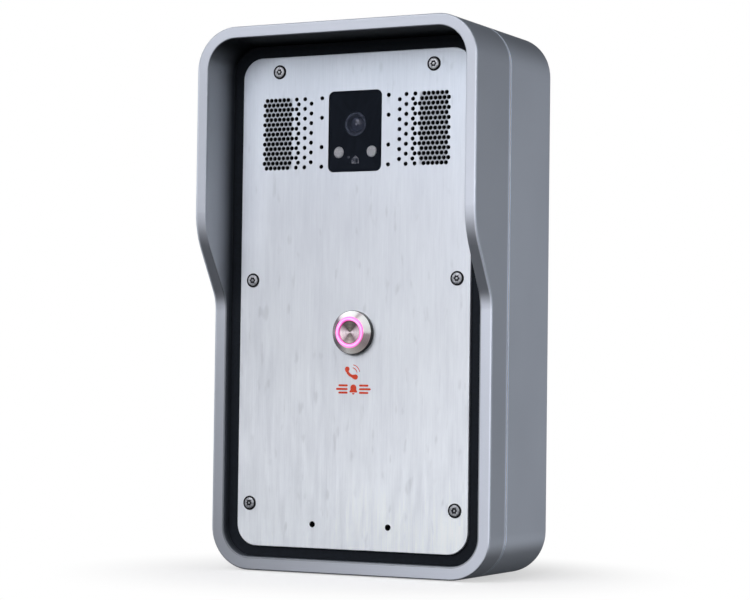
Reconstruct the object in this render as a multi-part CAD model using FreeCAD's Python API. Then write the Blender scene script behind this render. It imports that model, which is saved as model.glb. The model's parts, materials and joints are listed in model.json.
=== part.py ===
"""Hooded wall-mounted door intercom: a cast back box, a hooded frame, a steel face plate with a
camera, two speakers, two microphones and one call button, and the electronics inside.

Frame: the wall is the plane y = 0, x runs to the right and z up. The origin is the middle of the
back face. "Depth" below is the distance in front of the wall, so a depth of d lies at y = -d.
"""
import FreeCAD
import Part
import math
import os

# ---- driving dimensions, millimetres -------------------------------------------------------
# outer case
CASE_W = 130.0
CASE_H = 228.0
CASE_R = 18.0
WALL = 4.0
BACK_T = 3.0
PARTING = 42.7
SEAM_BEVEL = 1.0
HOOD_FRONT = 75.0
LOWER_RIM = 57.8

# side view of the hood: a slope with rounded ends joins the hood front to the lower rim
SLOPE_Z = 13.9
SLOPE_ANGLE = 31.5
SLOPE_R_HIGH = 30.0
SLOPE_R_LOW = 15.0
RIM_OUTER_ROUND = 0.7
RIM_INNER_ROUND = 0.5

# recess in the frame, narrowing a little towards its floor
RECESS_W = 120.0
RECESS_H = 218.2
RECESS_R = 13.0
RECESS_DRAFT = 0.9
LEDGE_FRONT = 51.5
LEDGE_BACK = 47.5
OPENING_W = 93.0
OPENING_H = 199.0
OPENING_R = 8.0

# black trim and face plate
TRIM_FRONT = 54.0
TRIM_GAP = 0.1
PLATE_W = 107.8
PLATE_H = 206.8
PLATE_R = 9.2
PLATE_Z = -0.4
PLATE_T = 1.2
PLATE_FRONT = TRIM_FRONT + PLATE_T
GASKET_INSET = 1.3
GASKET_W = 1.6
GASKET_T = 1.0
PLATE_SCREWS = [(36.3, 96.7), (47.9, 8.4), (48.0, -85.9)]
PLATE_SCREW_R = 1.25
SCREW_HEAD_R = 2.25
SCREW_PROUD = 0.6
SCREW_SEAL_R = 3.0
BOSS_R = 4.0

# frame screws and wall fixings
CORNER_X = 53.5
CORNER_Z = 103.5
CORNER_BOSS_R = 4.8
CORNER_SCREW_R = 2.0
WALL_HOLE_X = 45.0
WALL_HOLE_Z = 85.0
WALL_HOLE_R = 2.5
CABLE_Z = 32.0
CABLE_R = 4.5
GROMMET_R = 12.0
WALL_SEAL_INSET = 5.0
WALL_SEAL_W = 3.0
WALL_SEAL_T = 1.0

# speaker grille: fifteen rows of holes, every second row set half a pitch sideways
GRILLE_TOP = 84.7
GRILLE_ROWS = 15
GRILLE_ROW_PITCH = 2.06
GRILLE_HALF_PITCH = 1.02
GRILLE_OUTER_X = 42.2
GRILLE_HOLE_R = 0.9

# speakers behind the grille
SPEAKER_X = 29.8
SPEAKER_Z = 70.3
SPEAKER_R = 15.0
CONE_CLEAR = 0.3

# camera window
WINDOW_W = 25.0
WINDOW_H = 34.0
WINDOW_R = 2.5
WINDOW_Z = 70.3
GLASS_W = 28.4
GLASS_H = 37.4
GLASS_T = 1.5
TAPE_T = 0.2
CAMERA_X = -1.2
LENS_Z = 73.6
LENS_R = 5.0
LIGHT_SPREAD = 7.75
LIGHT_Z = 61.9
LIGHT_R = 2.4
SENSOR_Z = 58.6
MARKER_STEP = -2.9
MARKER_R = 0.5

# call button
BUTTON_X = 0.9
BUTTON_Z = -13.7
BEZEL_R = 9.1
BEZEL_WALL = 1.95
BARREL_R = 7.9
BUTTON_TRAVEL = 2.0
RING_R = 6.45
RING_INNER_R = 4.85
RING_HEIGHT = 4.5
CAP_HEIGHT = 4.0
RUNNING_GAP = 0.07

# microphones
MIC_X = 17.7
MIC_Z = -93.85
MIC_HOLE_R = 1.3

# main board
BOARD_X = 40.0
BOARD_TOP = -30.0
BOARD_BOTTOM = -92.0
BOARD_BACK = 38.0
BOARD_T = 1.6
BOARD_FRONT = BOARD_BACK + BOARD_T
SPACER_X = 36.0
SPACER_ZS = (-35.0, -87.0)

# cover switch that feels the back box
TAMPER_X = -31.0
TAMPER_Z = -60.0
TAMPER_TRAVEL = 1.5
TAMPER_POST_TOP = 16.0

SIDES = (("left", -1.0), ("right", 1.0))
REACH = 5.0


# ---- basic shapes --------------------------------------------------------------------------
def point(x, depth, z):
    """A point given by its depth in front of the wall."""
    return FreeCAD.Vector(x, -depth, z)


def outline(width, height, radius, depth, cx=0.0, cz=0.0):
    """Closed wire of a rounded rectangle parallel to the wall."""
    half_w = width / 2.0
    half_h = height / 2.0
    edges = []
    corners = [(1, 1, 0), (-1, 1, 90), (-1, -1, 180), (1, -1, 270)]
    ends = []
    for sx, sz, start in corners:
        mx = cx + sx * (half_w - radius)
        mz = cz + sz * (half_h - radius)
        arc = []
        for turn in (0.0, 45.0, 90.0):
            angle = math.radians(start + turn)
            arc.append(point(mx + radius * math.cos(angle), depth, mz + radius * math.sin(angle)))
        ends.append(arc)
    for index, arc in enumerate(ends):
        edges.append(Part.Arc(arc[0], arc[1], arc[2]).toShape())
        following = ends[(index + 1) % 4][0]
        edges.append(Part.LineSegment(arc[2], following).toShape())
    return Part.Wire(edges)


def slab(width, height, radius, back, front, cx=0.0, cz=0.0):
    """Rounded rectangular plate between two depths."""
    face = Part.Face(outline(width, height, radius, back, cx, cz))
    return face.extrude(FreeCAD.Vector(0, back - front, 0))


def frame_ring(width, height, radius, band, back, front, cx=0.0, cz=0.0):
    """Rounded rectangular ring with a constant band width."""
    outer = slab(width, height, radius, back, front, cx, cz)
    inner = slab(width - 2 * band, height - 2 * band, radius - band, back - 1, front + 1, cx, cz)
    return outer.cut(inner)


def disc(radius, back, front, cx=0.0, cz=0.0):
    """Round pin or hole tool between two depths."""
    return Part.makeCylinder(radius, front - back, point(cx, back, cz), FreeCAD.Vector(0, -1, 0))


def tube(outer, inner, back, front, cx=0.0, cz=0.0):
    """Round ring between two depths."""
    return disc(outer, back, front, cx, cz).cut(disc(inner, back - 1, front + 1, cx, cz))


def cone(back_r, front_r, back, front, cx, cz):
    """Tapered pin between two depths."""
    start = point(cx, back, cz)
    return Part.makeCone(back_r, front_r, front - back, start, FreeCAD.Vector(0, -1, 0))


def block(x0, x1, back, front, z0, z1):
    """Rectangular block."""
    corner = FreeCAD.Vector(x0, -front, z0)
    return Part.makeBox(x1 - x0, front - back, z1 - z0, corner)


def hexagon(across_flats, back, front, cx, cz):
    """Hexagonal bar between two depths."""
    radius = across_flats / math.sqrt(3.0)
    corners = []
    for index in range(7):
        angle = math.radians(60.0 * index)
        corners.append(point(cx + radius * math.cos(angle), back, cz + radius * math.sin(angle)))
    face = Part.Face(Part.makePolygon(corners))
    return face.extrude(FreeCAD.Vector(0, back - front, 0))


def turned(profile, cx=0.0, cz=0.0):
    """Solid of revolution from (radius, depth) pairs about an axis square to the wall."""
    corners = [point(cx + radius, depth, cz) for radius, depth in profile]
    corners.append(corners[0])
    face = Part.Face(Part.makePolygon(corners))
    return face.revolve(point(cx, 0, cz), FreeCAD.Vector(0, -1, 0), 360)


def joined(shapes):
    """One solid from overlapping pieces."""
    result = shapes[0].multiFuse(shapes[1:])
    return result.removeSplitter()


def coil(mean_r, wire_r, turns, back, front, cx, cz):
    """Compression spring between two depths: half turns, each a tilted arc that climbs evenly."""
    climb = (front - back - 2 * wire_r) / (2 * turns)
    arcs = []
    for half in range(2 * turns):
        side = 1 - 2 * (half % 2)
        foot = back + wire_r + half * climb
        start = point(cx + side * mean_r, foot, cz)
        middle = point(cx, foot + climb / 2.0, cz + side * mean_r)
        end = point(cx - side * mean_r, foot + climb, cz)
        arcs.append(Part.Arc(start, middle, end).toShape())
    section = Part.Wire([Part.makeCircle(wire_r, arcs[0].Vertexes[0].Point, FreeCAD.Vector(0, 0, 1))])
    return Part.Wire(arcs).makePipeShell([section], True, False)


def lead(corners, radius):
    """Insulated wire: straight runs joined by arcs as large as the runs allow."""
    edges = []
    start = corners[0]
    for index in range(1, len(corners) - 1):
        corner = corners[index]
        into = corner - corners[index - 1]
        out = corners[index + 1] - corner
        cut = 0.45 * min(into.Length, out.Length)
        into.normalize()
        out.normalize()
        first = corner - into * cut
        last = corner + out * cut
        half_turn = into.getAngle(out) / 2.0
        bend_r = cut / math.tan(half_turn)
        inward = out - into
        inward.normalize()
        middle = corner + inward * (bend_r / math.cos(half_turn) - bend_r)
        edges.append(Part.LineSegment(start, first).toShape())
        edges.append(Part.Arc(first, middle, last).toShape())
        start = last
    edges.append(Part.LineSegment(start, corners[-1]).toShape())
    path = Part.Wire(edges)
    heading = corners[1] - corners[0]
    section = Part.Wire([Part.makeCircle(radius, corners[0], heading)])
    return path.makePipeShell([section], True, False)


# ---- outer case ----------------------------------------------------------------------------
def corner_places():
    """The four corner screws that join frame and back box."""
    return [(sx * CORNER_X, sz * CORNER_Z) for sx in (-1, 1) for sz in (-1, 1)]


def plate_screw_places():
    """The six security screws of the face plate."""
    return [(sx * x, z) for sx in (-1, 1) for x, z in PLATE_SCREWS]


def back_box():
    """Cast tray on the wall, with corner bosses, wall fixings and a cable entry."""
    body = slab(CASE_W, CASE_H, CASE_R, 0.0, PARTING)
    front_edges = [e for e in body.Edges if abs(e.BoundBox.YMin + PARTING) < 1e-4
                   and abs(e.BoundBox.YMax + PARTING) < 1e-4]
    body = body.makeChamfer(SEAM_BEVEL, front_edges)
    back_edges = [e for e in body.Edges if e.BoundBox.YMin > -1e-4]
    body = body.makeFillet(1.2, back_edges)
    cavity = slab(CASE_W - 2 * WALL, CASE_H - 2 * WALL, CASE_R - WALL, BACK_T, PARTING + 1)
    body = body.cut(cavity)
    bosses = [disc(CORNER_BOSS_R, BACK_T - 1, PARTING, x, z) for x, z in corner_places()]
    for sx in (-1, 1):
        for sz in (-1, 1):
            bosses.append(disc(6.0, BACK_T - 1, 5.0, sx * WALL_HOLE_X, sz * WALL_HOLE_Z))
    bosses.append(disc(5.0, BACK_T - 1, TAMPER_POST_TOP, TAMPER_X, TAMPER_Z))
    body = joined([body] + bosses)
    outside = slab(CASE_W, CASE_H, CASE_R, -1, PARTING + 1)
    body = body.common(outside)
    tools = [disc(CORNER_SCREW_R + 0.05, PARTING - 17.0, PARTING + 1, x, z) for x, z in corner_places()]
    for sx in (-1, 1):
        for sz in (-1, 1):
            tools.append(disc(WALL_HOLE_R, -1, 6.0, sx * WALL_HOLE_X, sz * WALL_HOLE_Z))
    tools.append(disc(10.0, -1, 6.0, 0.0, CABLE_Z))
    tools.append(disc(GROMMET_R + 0.1, -1, 1.0, 0.0, CABLE_Z))
    groove = frame_ring(CASE_W - 3.4, CASE_H - 3.4, CASE_R - 1.7, 1.3, PARTING - 1.2, PARTING + 1)
    return body.cut(tools + [groove, wall_seal(-1.0)])


def wall_seal(back):
    """Ring near the edge of the back face, from the given depth to the bottom of its groove."""
    width = CASE_W - 2 * WALL_SEAL_INSET
    height = CASE_H - 2 * WALL_SEAL_INSET
    radius = CASE_R - WALL_SEAL_INSET
    return frame_ring(width, height, radius, WALL_SEAL_W, back, WALL_SEAL_T)


def wall_gasket():
    """Rubber seal against the wall, flush with the back face."""
    return wall_seal(0.0)


def seam_gasket():
    """Rubber cord in the groove of the back box's front edge."""
    return frame_ring(CASE_W - 3.5, CASE_H - 3.5, CASE_R - 1.75, 1.2, PARTING - 1.2, PARTING)


def cable_grommet():
    """Rubber bush in the cable entry, flush with the back."""
    profile = [
        (CABLE_R, 0.0),
        (GROMMET_R, 0.0),
        (GROMMET_R, 1.0),
        (9.95, 1.0),
        (9.95, BACK_T),
        (GROMMET_R, BACK_T),
        (GROMMET_R, 5.0),
        (7.0, 9.0),
        (CABLE_R, 9.0),
    ]
    return turned(profile, 0.0, CABLE_Z)


def hood_cutaway():
    """Everything in front of the frame's side profile, right across its width."""
    angle = math.radians(SLOPE_ANGLE)
    step = HOOD_FRONT - LOWER_RIM
    middle_depth = (HOOD_FRONT + LOWER_RIM) / 2.0
    rise = step / math.tan(angle)
    z_low = SLOPE_Z - rise / 2.0
    z_high = SLOPE_Z + rise / 2.0
    cut_low = SLOPE_R_LOW * math.tan(angle / 2.0)
    cut_high = SLOPE_R_HIGH * math.tan(angle / 2.0)
    x = -CASE_W / 2.0 - REACH

    def at(depth, z):
        return point(x, depth, z)

    low_start = at(LOWER_RIM, z_low - cut_low)
    low_middle = at(
        LOWER_RIM + SLOPE_R_LOW * (1 - math.cos(angle / 2)),
        z_low - cut_low + SLOPE_R_LOW * math.sin(angle / 2),
    )
    low_end = at(LOWER_RIM + cut_low * math.sin(angle), z_low + cut_low * math.cos(angle))
    high_start = at(HOOD_FRONT - cut_high * math.sin(angle), z_high - cut_high * math.cos(angle))
    high_middle = at(
        HOOD_FRONT - SLOPE_R_HIGH * (1 - math.cos(angle / 2)),
        z_high + cut_high - SLOPE_R_HIGH * math.sin(angle / 2),
    )
    high_end = at(HOOD_FRONT, z_high + cut_high)
    bottom = -CASE_H / 2.0 - REACH
    front = HOOD_FRONT + REACH
    edges = [
        Part.LineSegment(at(LOWER_RIM, bottom), low_start).toShape(),
        Part.Arc(low_start, low_middle, low_end).toShape(),
        Part.LineSegment(low_end, high_start).toShape(),
        Part.Arc(high_start, high_middle, high_end).toShape(),
        Part.LineSegment(high_end, at(front, z_high + cut_high)).toShape(),
        Part.LineSegment(at(front, z_high + cut_high), at(front, bottom)).toShape(),
        Part.LineSegment(at(front, bottom), at(LOWER_RIM, bottom)).toShape(),
    ]
    face = Part.Face(Part.Wire(edges))
    return face.extrude(FreeCAD.Vector(CASE_W + 2 * REACH, 0, 0))


def ledge_opening(back, front):
    """The opening in the ledge, which leaves a boss for each face plate screw."""
    opening = slab(OPENING_W, OPENING_H, OPENING_R, back, front)
    stays = []
    for x, z in plate_screw_places():
        stays.append(disc(BOSS_R, back - 1, front + 1, x, z))
        if z > OPENING_H / 2.0 - 2 * BOSS_R:
            stays.append(block(x - BOSS_R, x + BOSS_R, back - 1, front + 1, z, z + 2 * BOSS_R))
        else:
            far = math.copysign(abs(x) + 2 * BOSS_R, x)
            stays.append(block(min(x, far), max(x, far), back - 1, front + 1, z - BOSS_R, z + BOSS_R))
    return opening.cut(stays)


def rim_edges(body, inner):
    """Edges of the front rim: its inner loop or its outer loop."""
    found = []
    for edge in body.Edges:
        middle = edge.valueAt((edge.FirstParameter + edge.LastParameter) / 2.0)
        if -middle.y < LOWER_RIM - 0.2:
            continue
        near_side = abs(middle.x) > CASE_W / 2.0 - 0.2
        near_end = abs(middle.z) > CASE_H / 2.0 - 0.2
        arc_x = abs(middle.x) - (CASE_W / 2.0 - CASE_R)
        arc_z = abs(middle.z) - (CASE_H / 2.0 - CASE_R)
        on_corner = min(arc_x, arc_z) > 0 and abs(math.hypot(arc_x, arc_z) - CASE_R) < 0.2
        outer = near_side or near_end or on_corner
        along_depth = edge.BoundBox.XLength < 1e-3 and edge.BoundBox.ZLength < 1e-3
        across = not outer and edge.BoundBox.XLength > 3.0 and edge.BoundBox.ZLength < 0.2
        across = across and abs(middle.z) < CASE_H / 2.0 - 2 * CASE_R
        if along_depth or across:
            continue
        if outer != inner:
            found.append(edge)
    return found


def hood_frame():
    """Cast frame with the rain hood, the recess, and the ledge that carries trim and plate."""
    body = slab(CASE_W, CASE_H, CASE_R, PARTING, HOOD_FRONT)
    body = body.cut(hood_cutaway())
    narrow = 2 * RECESS_DRAFT
    mouth = outline(RECESS_W, RECESS_H, RECESS_R, HOOD_FRONT)
    floor = outline(RECESS_W - narrow, RECESS_H - narrow, RECESS_R - RECESS_DRAFT, LEDGE_FRONT)
    recess = Part.makeLoft([mouth, floor], True, True)
    body = body.cut(recess)
    body = body.makeFillet(RIM_OUTER_ROUND, rim_edges(body, inner=False))
    body = body.makeFillet(RIM_INNER_ROUND, rim_edges(body, inner=True))
    inside = slab(CASE_W - 2 * WALL, CASE_H - 2 * WALL, CASE_R - WALL, PARTING - 1, LEDGE_BACK)
    for x, z in corner_places():
        inside = inside.cut(disc(CORNER_BOSS_R, PARTING - 2, LEDGE_BACK + 1, x, z))
    tools = [inside, ledge_opening(LEDGE_BACK - 1, LEDGE_FRONT + 1)]
    for x, z in corner_places():
        tools.append(disc(CORNER_SCREW_R + 0.1, PARTING - 1, LEDGE_FRONT + 1, x, z))
        tools.append(disc(4.0, LEDGE_FRONT - 2.5, LEDGE_FRONT + 1, x, z))
    for x, z in plate_screw_places():
        tools.append(disc(PLATE_SCREW_R + 0.05, LEDGE_BACK - 1, LEDGE_FRONT + 1, x, z))
    return body.cut(tools)


def frame_screws():
    """Four cap screws from the ledge into the back box."""
    screws = []
    for x, z in corner_places():
        head = disc(3.6, LEDGE_FRONT - 2.5, LEDGE_FRONT - 0.1, x, z)
        shank = disc(CORNER_SCREW_R, PARTING - 16.0, LEDGE_FRONT - 2.0, x, z)
        socket = hexagon(3.0, LEDGE_FRONT - 1.6, LEDGE_FRONT + 1, x, z)
        screws.append(joined([head, shank]).cut(socket))
    return Part.makeCompound(screws)


# ---- trim and face plate -------------------------------------------------------------------
def trim_size():
    """Outer width, height and corner radius of the trim."""
    shrink = 2 * (RECESS_DRAFT + TRIM_GAP)
    return RECESS_W - shrink, RECESS_H - shrink, RECESS_R - shrink / 2.0


def gasket_ring(front):
    """Ring just inside the edge of the face plate, from the bottom of its groove in the trim."""
    width = PLATE_W - 2 * GASKET_INSET
    height = PLATE_H - 2 * GASKET_INSET
    radius = PLATE_R - GASKET_INSET
    return frame_ring(width, height, radius, GASKET_W, TRIM_FRONT - GASKET_T, front, 0.0, PLATE_Z)


def inner_trim():
    """Black moulded trim that fills the recess floor around the plate."""
    width, height, radius = trim_size()
    body = slab(width, height, radius, LEDGE_FRONT, TRIM_FRONT)
    tools = [ledge_opening(LEDGE_FRONT - 1, TRIM_FRONT + 1)]
    for x, z in plate_screw_places():
        tools.append(disc(PLATE_SCREW_R + 0.35, LEDGE_FRONT - 1, TRIM_FRONT + 1, x, z))
    tools.append(gasket_ring(TRIM_FRONT + 1))
    return body.cut(tools)


def plate_gasket():
    """Foam cord between trim and face plate."""
    return gasket_ring(TRIM_FRONT)


def grille_places():
    """Hole centres of both speaker grilles, the right one a mirror of the left."""
    dense_even = [0, 2, 4, 6, 8, 10]
    dense_odd = [-1, 1, 3, 5, 7, 9, 11]
    places = []
    for row in range(GRILLE_ROWS):
        z = GRILLE_TOP - row * GRILLE_ROW_PITCH
        if row % 2 == 0:
            columns = dense_even + [14, 18]
            if 0 < row < GRILLE_ROWS - 1:
                columns.append(12)
        else:
            columns = dense_odd + [15, 21]
        if row in (0, 4, 10, 14):
            columns.append(26)
        for column in columns:
            x = GRILLE_OUTER_X - column * GRILLE_HALF_PITCH
            places.append((-x, z))
            places.append((x, z))
    return places


def face_plate():
    """Brushed steel plate with all its openings."""
    body = slab(PLATE_W, PLATE_H, PLATE_R, TRIM_FRONT, PLATE_FRONT, 0.0, PLATE_Z)
    front_edges = [e for e in body.Edges if e.BoundBox.YMax < -PLATE_FRONT + 1e-4]
    body = body.makeChamfer(0.2, front_edges)
    low = TRIM_FRONT - 1
    high = PLATE_FRONT + 1
    tools = [disc(GRILLE_HOLE_R, low, high, x, z) for x, z in grille_places()]
    tools.append(slab(WINDOW_W, WINDOW_H, WINDOW_R, low, high, 0.0, WINDOW_Z))
    tools.append(disc(BARREL_R + 0.1, low, high, BUTTON_X, BUTTON_Z))
    for _, side in SIDES:
        tools.append(disc(MIC_HOLE_R, low, high, side * MIC_X, MIC_Z))
    for x, z in plate_screw_places():
        tools.append(cone(SCREW_SEAL_R - PLATE_T, SCREW_SEAL_R, TRIM_FRONT, PLATE_FRONT, x, z))
    return body.cut(tools)


def plate_screws():
    """Six pin security screws with countersunk heads."""
    screws = []
    for x, z in plate_screw_places():
        profile = [
            (0.0, LEDGE_BACK - 1.0),
            (PLATE_SCREW_R, LEDGE_BACK - 1.0),
            (PLATE_SCREW_R, TRIM_FRONT),
            (SCREW_HEAD_R, PLATE_FRONT),
            (SCREW_HEAD_R, PLATE_FRONT + SCREW_PROUD - 0.2),
            (SCREW_HEAD_R - 0.35, PLATE_FRONT + SCREW_PROUD),
            (0.0, PLATE_FRONT + SCREW_PROUD + 0.1),
        ]
        low = PLATE_FRONT - 0.7
        high = PLATE_FRONT + SCREW_PROUD + 1
        recess = [disc(1.1, low, high, x, z)]
        for lobe in range(6):
            angle = math.radians(60.0 * lobe)
            lobe_x = x + 1.1 * math.cos(angle)
            lobe_z = z + 1.1 * math.sin(angle)
            recess.append(disc(0.3, low, high, lobe_x, lobe_z))
        pin = disc(0.48, low - 1, high + 1, x, z)
        screws.append(turned(profile, x, z).cut(joined(recess).cut(pin)))
    return Part.makeCompound(screws)


def screw_seals():
    """Rubber cones with a raised lip between the security screws and their countersinks."""
    seals = []
    for x, z in plate_screw_places():
        profile = [
            (PLATE_SCREW_R + 0.05, TRIM_FRONT),
            (SCREW_SEAL_R - PLATE_T, TRIM_FRONT),
            (SCREW_SEAL_R, PLATE_FRONT),
            (SCREW_SEAL_R, PLATE_FRONT + 0.2),
            (SCREW_SEAL_R - 0.2, PLATE_FRONT + 0.4),
            (SCREW_HEAD_R + 0.05, PLATE_FRONT + 0.4),
            (SCREW_HEAD_R + 0.05, PLATE_FRONT),
        ]
        seals.append(turned(profile, x, z))
    return Part.makeCompound(seals)


# ---- camera window -------------------------------------------------------------------------
def glass_back():
    """Depth of the back face of the window glass."""
    return TRIM_FRONT - TAPE_T - GLASS_T


def window_tape():
    """Adhesive gasket that bonds the glass to the plate."""
    return frame_ring(GLASS_W, GLASS_H, 3.0, 1.4, TRIM_FRONT - TAPE_T, TRIM_FRONT, 0.0, WINDOW_Z)


def window_glass():
    """Flat glass behind the plate opening."""
    return slab(GLASS_W, GLASS_H, 3.0, glass_back(), TRIM_FRONT - TAPE_T, 0.0, WINDOW_Z)


def camera_housing():
    """Black holder behind the glass for lens, lights and light sensor."""
    front = glass_back()
    body = slab(GLASS_W, GLASS_H, 3.0, 38.0, front, 0.0, WINDOW_Z)
    hollow = slab(24.0, 33.0, 1.5, 37.0, front - 3.0, 0.0, WINDOW_Z)
    tools = [hollow, disc(LENS_R + 0.2, 37.0, front + 1, CAMERA_X, LENS_Z)]
    for _, side in SIDES:
        tools.append(disc(LIGHT_R + 0.1, 37.0, front + 1, light_x(side), LIGHT_Z))
    tools.append(house(2.0, 37.0, front + 1, CAMERA_X, SENSOR_Z))
    tools.append(disc(MARKER_R + 0.1, 37.0, front + 1, CAMERA_X + MARKER_STEP, SENSOR_Z + 1.1))
    return body.cut(tools)


def lens_barrel():
    """Threaded lens barrel with a stepped front that frames the front lens."""
    front = glass_back() - 0.4
    profile = [
        (2.0, 39.0),
        (4.4, 39.0),
        (4.4, 43.0),
        (LENS_R, 43.0),
        (LENS_R, front - 0.4),
        (LENS_R - 0.4, front),
        (LENS_R - 1.1, front),
        (3.3, front - 1.6),
        (3.3, front - 4.0),
        (2.0, front - 4.0),
    ]
    return turned(profile, CAMERA_X, LENS_Z)


def lens_element():
    """Domed front lens seated in the barrel."""
    front = glass_back() - 0.4
    seat = front - 4.0
    rim = front - 1.8
    sag = 1.1
    radius = 3.25
    edge = point(CAMERA_X + radius, rim, LENS_Z)
    crown = point(CAMERA_X, rim + sag, LENS_Z)
    curve = (radius * radius + sag * sag) / (2.0 * sag)
    tilt = math.asin(radius / curve) / 2.0
    between_depth = rim + sag - curve * (1 - math.cos(tilt))
    between = point(CAMERA_X + curve * math.sin(tilt), between_depth, LENS_Z)
    middle = point(CAMERA_X, seat, LENS_Z)
    corner = point(CAMERA_X + radius, seat, LENS_Z)
    edges = [
        Part.LineSegment(middle, corner).toShape(),
        Part.LineSegment(corner, edge).toShape(),
        Part.Arc(edge, between, crown).toShape(),
        Part.LineSegment(crown, middle).toShape(),
    ]
    face = Part.Face(Part.Wire(edges))
    return face.revolve(middle, FreeCAD.Vector(0, -1, 0), 360)


def camera_board():
    """Small circuit board behind the camera housing."""
    return slab(GLASS_W - 0.4, GLASS_H - 0.4, 2.0, 36.8, 38.0, 0.0, WINDOW_Z)


def image_sensor():
    """Image sensor package under the lens."""
    return block(CAMERA_X - 4.0, CAMERA_X + 4.0, 38.0, 38.9, LENS_Z - 4.0, LENS_Z + 4.0)


def light_x(side):
    """Sideways place of one fill light."""
    return CAMERA_X + side * LIGHT_SPREAD


def fill_light(side):
    """Domed white light behind the glass, on its leads."""
    x = light_x(side)
    front = glass_back() - 0.1
    body = turned(
        [(0.0, 46.0), (LIGHT_R, 46.0), (LIGHT_R, front - 0.4), (LIGHT_R - 0.5, front), (0.0, front)],
        x,
        LIGHT_Z,
    )
    legs = [disc(0.3, 38.0, 46.5, x + step, LIGHT_Z) for step in (-1.2, 1.2)]
    return joined([body] + legs)


def house(half_width, back, front, cx, cz):
    """Five-sided bar with a roof-shaped top between two depths."""
    corners = [(-1.0, -0.85), (1.0, -0.85), (1.0, 0.15), (0.0, 1.05), (-1.0, 0.15), (-1.0, -0.85)]
    outline_points = [point(cx + half_width * x, back, cz + half_width * z) for x, z in corners]
    face = Part.Face(Part.makePolygon(outline_points))
    return face.extrude(FreeCAD.Vector(0, back - front, 0))


def light_sensor():
    """Day and night sensor: a roof-topped block with a small lens and a marker light beside it."""
    front = glass_back() - 0.1
    body = house(1.8, 48.0, front - 0.5, CAMERA_X, SENSOR_Z)
    lens = cone(1.1, 0.7, front - 0.6, front, CAMERA_X, SENSOR_Z - 0.2)
    solids = [body, lens]
    for step in (-1.2, 1.2):
        x = CAMERA_X + step
        solids.append(block(x - 0.25, x + 0.25, 38.0, 48.5, SENSOR_Z - 0.25, SENSOR_Z + 0.25))
    marker = disc(MARKER_R, 38.0, front, CAMERA_X + MARKER_STEP, SENSOR_Z + 1.1)
    return Part.makeCompound([joined(solids), marker])


# ---- speakers ------------------------------------------------------------------------------
def cloth_size():
    """Width and height of the cloth and gasket behind one grille."""
    return 30.2, 33.0


def grille_cloth(side):
    """Fine acoustic cloth behind the grille holes."""
    width, height = cloth_size()
    return slab(width, height, 1.5, TRIM_FRONT - 0.3, TRIM_FRONT, side * SPEAKER_X, SPEAKER_Z)


def speaker_gasket(side):
    """Foam frame that seals the speaker to the cloth."""
    width, height = cloth_size()
    x = side * SPEAKER_X
    body = slab(width, height, 1.5, 51.7, TRIM_FRONT - 0.3, x, SPEAKER_Z)
    return body.cut(disc(14.2, 50.0, TRIM_FRONT, x, SPEAKER_Z))


def speaker_basket(side):
    """Pressed steel basket."""
    profile = [
        (SPEAKER_R, 51.7),
        (SPEAKER_R, 50.5),
        (14.0, 50.5),
        (9.8, 44.0),
        (4.8, 44.0),
        (4.8, 44.6),
        (9.4, 44.6),
        (13.3, 50.9),
        (13.3, 51.7),
    ]
    return turned(profile, side * SPEAKER_X, SPEAKER_Z)


def speaker_magnet(side):
    """Ring magnet with its pole piece and the gap for the voice coil."""
    profile = [
        (0.0, 38.6),
        (9.0, 38.6),
        (9.0, 44.0),
        (4.6, 44.0),
        (4.6, 40.0),
        (3.2, 40.0),
        (3.2, 44.2),
        (0.0, 44.2),
    ]
    return turned(profile, side * SPEAKER_X, SPEAKER_Z)


def speaker_cone(side):
    """Paper cone with dust cap and voice coil former."""
    profile = [
        (3.6, 41.0),
        (4.2, 41.0),
        (4.2, 46.0),
        (11.4, 50.6),
        (11.4, 51.0),
        (4.6, 46.7),
        (3.6, 47.6),
        (1.8, 48.2),
        (0.0, 48.4),
        (0.0, 48.0),
        (1.7, 47.8),
        (3.6, 47.0),
    ]
    return turned(profile, side * SPEAKER_X, SPEAKER_Z)


def speaker_surround(side):
    """Rubber roll between cone and basket."""
    inner = 11.4 + CONE_CLEAR
    profile = [
        (inner, 50.6),
        (13.25, 50.6 + 0.35),
        (13.25, 51.5),
        (12.5, 51.9),
        (inner, 51.2),
    ]
    return turned(profile, side * SPEAKER_X, SPEAKER_Z)


# ---- microphones ---------------------------------------------------------------------------
def microphone(side):
    """Electret capsule."""
    x = side * MIC_X
    can = disc(3.0, 48.0, 52.6, x, MIC_Z)
    pins = [disc(0.3, 46.0, 48.5, x + step, MIC_Z) for step in (-1.0, 1.0)]
    return joined([can] + pins)


def microphone_boot(side):
    """Rubber boot that holds the capsule against the plate."""
    x = side * MIC_X
    body = disc(4.4, 47.0, TRIM_FRONT, x, MIC_Z)
    pocket = disc(3.02, 46.0, 52.6, x, MIC_Z)
    return body.cut([pocket, disc(MIC_HOLE_R, 46.0, TRIM_FRONT + 1, x, MIC_Z)])


# ---- call button ---------------------------------------------------------------------------
def button_bezel():
    """Steel bezel and threaded barrel in one turned piece."""
    bore = RING_R + RUNNING_GAP
    top = PLATE_FRONT + RING_HEIGHT
    profile = [
        (bore, top - 0.3),
        (bore + 0.15, top - 0.2),
        (BEZEL_R - 0.1, PLATE_FRONT + BEZEL_WALL + 0.1),
        (BEZEL_R, PLATE_FRONT + BEZEL_WALL),
        (BEZEL_R, PLATE_FRONT),
        (8.95, PLATE_FRONT),
        (8.95, PLATE_FRONT + 0.8),
        (8.15, PLATE_FRONT + 0.8),
        (8.15, PLATE_FRONT),
        (BARREL_R, PLATE_FRONT),
        (BARREL_R, 36.0),
        (7.3, 36.0),
        (7.3, 52.0),
        (bore, 52.0),
    ]
    return turned(profile, BUTTON_X, BUTTON_Z)


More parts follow.
